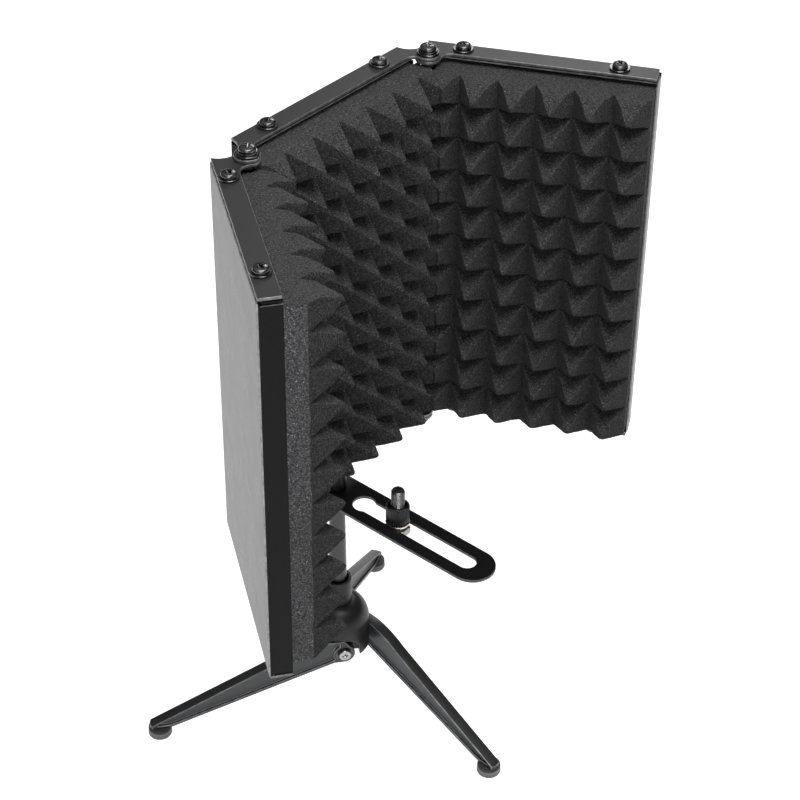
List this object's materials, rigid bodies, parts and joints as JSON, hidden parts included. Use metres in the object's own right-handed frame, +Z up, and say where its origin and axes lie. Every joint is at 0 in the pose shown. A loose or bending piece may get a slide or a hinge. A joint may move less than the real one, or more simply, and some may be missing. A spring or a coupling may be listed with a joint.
{
  "type": "microphone isolation shield",
  "caption": "tabletop microphone isolation shield: foam-lined steel trays hinged edge to edge on a folding tripod, with a slotted arm and stud for a microphone mount",
  "frame": {"origin": "centre of the object's footprint box at table height", "axes": "+Z up, the shield opens towards -Y, the back tray's outer face looks towards +Y, +X to the right seen from the open side"},
  "size_m": [0.3572, 0.2256, 0.5094],
  "materials": {
    "tripod_hub": "satin dark grey paint on a die casting",
    "socket_sleeve": "satin dark grey paint on a die casting",
    "leg_screw_1": "dark nickel plated steel, bright domed head",
    "leg_screw_2": "dark nickel plated steel, bright domed head",
    "leg_screw_3": "dark nickel plated steel, bright domed head",
    "leg_1": "satin dark grey paint on a die casting",
    "foot_1": "dark grey rubber",
    "leg_2": "satin dark grey paint on a die casting",
    "foot_2": "dark grey rubber",
    "leg_3": "satin dark grey paint on a die casting",
    "foot_3": "dark grey rubber",
    "post": "satin plated steel tube with a bolt in its top",
    "spacer_sleeve": "black oxide steel",
    "arm_plate": "satin black finish on flat steel",
    "back_tray": "satin black powder coat on folded sheet steel",
    "back_foam": "open-cell acoustic foam, charcoal",
    "back_top_strip": "satin black powder coat on flat steel strip, thin bright cut edges",
    "back_bottom_strip": "satin black powder coat on flat steel strip, thin bright cut edges",
    "back_top_screw_1": "dark nickel plated steel, bright domed head",
    "back_top_screw_2": "dark nickel plated steel, bright domed head",
    "back_bottom_screw_1": "dark nickel plated steel, bright domed head",
    "back_bottom_screw_2": "dark nickel plated steel, bright domed head",
    "left_hinge_screw_top": "dark nickel plated steel, bright domed head",
    "left_hinge_nut_top": "dark nickel plated steel",
    "left_hinge_screw_bottom": "dark nickel plated steel, bright domed head",
    "left_hinge_nut_bottom": "dark nickel plated steel",
    "right_hinge_screw_top": "dark nickel plated steel, bright domed head",
    "right_hinge_nut_top": "dark nickel plated steel",
    "right_hinge_screw_bottom": "dark nickel plated steel, bright domed head",
    "right_hinge_nut_bottom": "dark nickel plated steel",
    "left_tray": "satin black powder coat on folded sheet steel",
    "left_foam": "open-cell acoustic foam, charcoal",
    "left_top_strip": "satin black powder coat on flat steel strip, thin bright cut edges",
    "left_bottom_strip": "satin black powder coat on flat steel strip, thin bright cut edges",
    "left_top_screw_1": "dark nickel plated steel, bright domed head",
    "left_top_screw_2": "dark nickel plated steel, bright domed head",
    "left_bottom_screw_1": "dark nickel plated steel, bright domed head",
    "left_bottom_screw_2": "dark nickel plated steel, bright domed head",
    "right_tray": "satin black powder coat on folded sheet steel",
    "right_foam": "open-cell acoustic foam, charcoal",
    "right_top_strip": "satin black powder coat on flat steel strip, thin bright cut edges",
    "right_bottom_strip": "satin black powder coat on flat steel strip, thin bright cut edges",
    "right_top_screw_1": "dark nickel plated steel, bright domed head",
    "right_top_screw_2": "dark nickel plated steel, bright domed head",
    "right_bottom_screw_1": "dark nickel plated steel, bright domed head",
    "right_bottom_screw_2": "dark nickel plated steel, bright domed head",
    "mic_stud": "plated steel, threaded",
    "stud_washer": "polished brass",
    "stud_lock_nut": "dark nickel plated steel",
    "knurled_nut": "black oxide steel"
  },
  "bodies": {
    "stand": {"tripod_hub": "tripod_hub", "socket_sleeve": "socket_sleeve", "leg_screw_1": "leg_screw_1", "leg_screw_2": "leg_screw_2", "leg_screw_3": "leg_screw_3"},
    "leg_a": {"leg_1": "leg_1", "foot_1": "foot_1"},
    "leg_b": {"leg_2": "leg_2", "foot_2": "foot_2"},
    "leg_c": {"leg_3": "leg_3", "foot_3": "foot_3"},
    "upper": {"post": "post", "spacer_sleeve": "spacer_sleeve", "arm_plate": "arm_plate", "back_tray": "back_tray", "back_foam": "back_foam", "back_top_strip": "back_top_strip", "back_bottom_strip": "back_bottom_strip", "back_top_screw_1": "back_top_screw_1", "back_top_screw_2": "back_top_screw_2", "back_bottom_screw_1": "back_bottom_screw_1", "back_bottom_screw_2": "back_bottom_screw_2", "left_hinge_screw_top": "left_hinge_screw_top", "left_hinge_nut_top": "left_hinge_nut_top", "left_hinge_screw_bottom": "left_hinge_screw_bottom", "left_hinge_nut_bottom": "left_hinge_nut_bottom", "right_hinge_screw_top": "right_hinge_screw_top", "right_hinge_nut_top": "right_hinge_nut_top", "right_hinge_screw_bottom": "right_hinge_screw_bottom", "right_hinge_nut_bottom": "right_hinge_nut_bottom"},
    "left_wing": {"left_tray": "left_tray", "left_foam": "left_foam", "left_top_strip": "left_top_strip", "left_bottom_strip": "left_bottom_strip", "left_top_screw_1": "left_top_screw_1", "left_top_screw_2": "left_top_screw_2", "left_bottom_screw_1": "left_bottom_screw_1", "left_bottom_screw_2": "left_bottom_screw_2"},
    "right_wing": {"right_tray": "right_tray", "right_foam": "right_foam", "right_top_strip": "right_top_strip", "right_bottom_strip": "right_bottom_strip", "right_top_screw_1": "right_top_screw_1", "right_top_screw_2": "right_top_screw_2", "right_bottom_screw_1": "right_bottom_screw_1", "right_bottom_screw_2": "right_bottom_screw_2"},
    "stud": {"mic_stud": "mic_stud", "stud_washer": "stud_washer", "stud_lock_nut": "stud_lock_nut"},
    "knurl": {"knurled_nut": "knurled_nut"}
  },
  "joints": [
    {"name": "leg_a_hinge", "type": "hinge", "parent": "stand", "child": "leg_a", "pos_m": [-0.00218, 0.01939, 0.054], "axis": [-0.5906, -0.807, 0], "range_deg": [0, 60]},
    {"name": "leg_b_hinge", "type": "hinge", "parent": "stand", "child": "leg_b", "pos_m": [0.02719, 0.0328, 0.054], "axis": [0.9966, -0.0819, 0], "range_deg": [0, 60]},
    {"name": "leg_c_hinge", "type": "hinge", "parent": "stand", "child": "leg_c", "pos_m": [0.00164, 0.0514, 0.054], "axis": [-0.3843, 0.9232, 0], "range_deg": [0, 60]},
    {"name": "post_swivel", "type": "hinge", "parent": "stand", "child": "upper", "pos_m": [0.00875, 0.03432, 0.1], "axis": [0, 0, 1], "continuous": true},
    {"name": "left_wing_hinge", "type": "hinge", "parent": "upper", "child": "left_wing", "pos_m": [-0.07435, 0.02802, 0.3584], "axis": [0, 0, 1], "range_deg": [-54.1, 0]},
    {"name": "right_wing_hinge", "type": "hinge", "parent": "upper", "child": "right_wing", "pos_m": [0.09185, 0.02802, 0.3584], "axis": [0, 0, -1], "range_deg": [-62.9, 0]},
    {"name": "stud_slide", "type": "slide", "parent": "upper", "child": "stud", "axis": [0, -1, 0], "range_m": [-0.024, 0.06]},
    {"name": "knurl_turn", "type": "hinge", "parent": "stud", "child": "knurl", "pos_m": [0.00875, -0.02168, 0.2], "axis": [0, 0, 1], "continuous": true}
  ]
}
